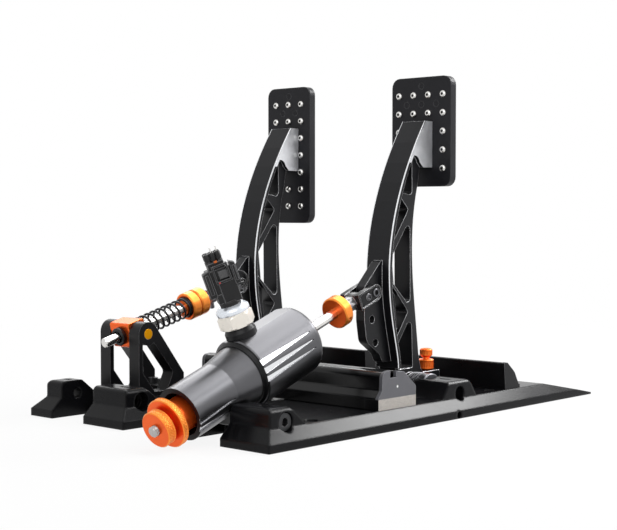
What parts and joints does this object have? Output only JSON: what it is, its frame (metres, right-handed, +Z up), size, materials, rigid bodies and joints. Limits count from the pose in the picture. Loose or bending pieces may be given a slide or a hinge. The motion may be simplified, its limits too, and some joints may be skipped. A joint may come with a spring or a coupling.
{
  "type": "sim racing pedal set",
  "caption": "Racing pedal set with a hydraulic brake cylinder and a spring throttle strut on two base modules, joined by an electronics crossbar.",
  "frame": {"origin": "on the floor plane, at the centre of the four outer rig bolt holes", "axes": "+X across, towards the throttle; +Y forward, away from the driver; +Z up"},
  "size_m": [0.271, 0.4714, 0.281],
  "materials": {
    "base_metal": "charcoal powder coat, fine grain, lighter on the chamfers",
    "black_metal": "black anodised, satin",
    "arm_metal": "black anodised, satin, with bright machined edges",
    "plate_metal": "black anodised, fine grain",
    "steel": "bright turned steel",
    "black_steel": "black oxide",
    "sleeve_metal": "grey anodised",
    "bronze": "sintered bronze",
    "bar_plastic": "black, glossy, fine texture",
    "cap_plastic": "mid grey, matte",
    "foot_metal": "light grey, textured",
    "board_green": "solder mask",
    "socket_metal": "plated",
    "light_white": "diffuse white",
    "barrel_metal": "graphite anodised, satin",
    "shoulder_metal": "black anodised",
    "gland_metal": "plain turned",
    "damper_rubber": "matte",
    "sensor_metal": "nickel plated, warm",
    "plug_plastic": "black moulded nylon",
    "orange_metal": "orange anodised, satin",
    "yellow_metal": "yellow-orange anodised",
    "bush_plastic": "black",
    "spring_steel": "black coated wire"
  },
  "bodies": {
    "chassis": {"brake_base": "base_metal", "throttle_base": "base_metal", "brake_heel_stop": "black_metal", "throttle_heel_stop": "black_metal", "brake_axle": "steel", "throttle_axle": "steel", "brake_axle_sleeves": "sleeve_metal", "throttle_axle_sleeves": "sleeve_metal", "crossbar_housing": "bar_plastic", "crossbar_end_caps": "cap_plastic", "crossbar_feet": "foot_metal", "crossbar_screws": "steel", "control_board": "board_green", "usb_socket": "socket_metal", "status_light": "light_white", "swing_bolt": "black_steel", "swing_nut": "steel", "spring_tower": "black_metal", "tower_bolts": "black_steel"},
    "brake_pedal": {"brake_arm": "arm_metal", "brake_arm_bushes": "bronze", "brake_plate": "plate_metal", "brake_plate_studs": "steel", "brake_plate_screws": "black_steel", "brake_clevis_pin": "black_steel"},
    "throttle_pedal": {"throttle_arm": "arm_metal", "throttle_arm_bushes": "bronze", "throttle_plate": "plate_metal", "throttle_plate_studs": "steel", "throttle_plate_screws": "black_steel", "throttle_clevis_pin": "black_steel"},
    "brake_stop": {"brake_stop_screw": "orange_metal"},
    "brake_lock": {"brake_lock_wheel": "orange_metal"},
    "throttle_stop": {"throttle_stop_screw": "orange_metal"},
    "throttle_lock": {"throttle_lock_wheel": "orange_metal"},
    "brake_cylinder": {"rear_barrel": "barrel_metal", "front_barrel": "barrel_metal", "shoulder_ring": "shoulder_metal", "rod_gland": "gland_metal", "damper_stack": "damper_rubber", "sensor_port": "shoulder_metal", "pressure_sensor": "sensor_metal", "sensor_plug": "plug_plastic", "plug_latch": "plug_plastic", "preload_cup": "orange_metal", "preload_stud": "steel"},
    "preload_adjuster": {"preload_ring": "orange_metal"},
    "preload_lock": {"lock_knob": "orange_metal"},
    "brake_push_rod": {"brake_rod": "steel", "brake_piston": "gland_metal", "brake_collar": "orange_metal", "brake_clevis": "black_metal"},
    "spring_swivel": {"spring_block": "orange_metal", "block_pins": "yellow_metal", "rod_bush": "bush_plastic", "return_spring": "spring_steel"},
    "throttle_push_rod": {"throttle_rod": "steel", "throttle_clevis": "black_metal"},
    "spring_adjuster": {"throttle_preload_ring": "orange_metal"},
    "spring_lock": {"throttle_lock_ring": "orange_metal"}
  },
  "joints": [
    {"name": "brake_press", "type": "hinge", "parent": "chassis", "child": "brake_pedal", "pos_m": [-0.067, -0.059, 0.0185], "axis": [-1, 0, 0], "range_deg": [0, 8], "stiffness_Nm_per_rad": 300, "springref_deg": -1.72},
    {"name": "throttle_press", "type": "hinge", "parent": "chassis", "child": "throttle_pedal", "pos_m": [0.0875, -0.059, 0.0185], "axis": [-1, 0, 0], "range_deg": [0, 15], "stiffness_Nm_per_rad": 20, "springref_deg": -11.46},
    {"name": "brake_cylinder_tilt", "type": "hinge", "parent": "chassis", "child": "brake_cylinder", "pos_m": [-0.067, 0.148, 0.0185], "axis": [-1, 0, 0], "range_deg": [-1, 0]},
    {"name": "brake_rod_swing", "type": "hinge", "parent": "brake_pedal", "child": "brake_push_rod", "pos_m": [-0.067, -0.013, 0.1008], "axis": [-1, 0, 0], "range_deg": [-9.2, 0]},
    {"name": "spring_swivel_tilt", "type": "hinge", "parent": "chassis", "child": "spring_swivel", "pos_m": [0.0875, 0.11, 0.0667], "axis": [-1, 0, 0], "range_deg": [-4.6, 0], "deforming": ["return_spring"]},
    {"name": "throttle_rod_swing", "type": "hinge", "parent": "throttle_pedal", "child": "throttle_push_rod", "pos_m": [0.0875, -0.013, 0.1008], "axis": [-1, 0, 0], "range_deg": [-19.6, 0]},
    {"name": "preload_ring_turn", "type": "hinge", "parent": "brake_cylinder", "child": "preload_adjuster", "pos_m": [-0.067, -0.013, 0.1008], "axis": [0, 0.9361, -0.3518], "continuous": true},
    {"name": "lock_knob_turn", "type": "hinge", "parent": "brake_cylinder", "child": "preload_lock", "pos_m": [-0.067, -0.013, 0.1008], "axis": [0, 0.9361, -0.3518], "continuous": true},
    {"name": "spring_ring_turn", "type": "hinge", "parent": "throttle_push_rod", "child": "spring_adjuster", "pos_m": [0.0875, -0.013, 0.1008], "axis": [0, 0.9636, -0.2672], "continuous": true},
    {"name": "spring_lock_turn", "type": "hinge", "parent": "throttle_push_rod", "child": "spring_lock", "pos_m": [0.0875, -0.013, 0.1008], "axis": [0, 0.9636, -0.2672], "continuous": true},
    {"name": "brake_stop_turn", "type": "hinge", "parent": "brake_pedal", "child": "brake_stop", "pos_m": [-0.067, -0.092, 0.03], "axis": [0, 0, 1], "continuous": true},
    {"name": "brake_lock_turn", "type": "hinge", "parent": "brake_pedal", "child": "brake_lock", "pos_m": [-0.067, -0.092, 0.03], "axis": [0, 0, 1], "continuous": true},
    {"name": "throttle_stop_turn", "type": "hinge", "parent": "throttle_pedal", "child": "throttle_stop", "pos_m": [0.0875, -0.092, 0.03], "axis": [0, 0, 1], "continuous": true},
    {"name": "throttle_lock_turn", "type": "hinge", "parent": "throttle_pedal", "child": "throttle_lock", "pos_m": [0.0875, -0.092, 0.03], "axis": [0, 0, 1], "continuous": true}
  ],
  "couplings": [
    {"joint": "brake_cylinder_tilt", "follows": "brake_press", "ratio": -0.115},
    {"joint": "brake_rod_swing", "follows": "brake_press", "ratio": -1.115},
    {"joint": "spring_swivel_tilt", "follows": "throttle_press", "ratio": -0.295},
    {"joint": "throttle_rod_swing", "follows": "throttle_press", "ratio": -1.295}
  ]
}
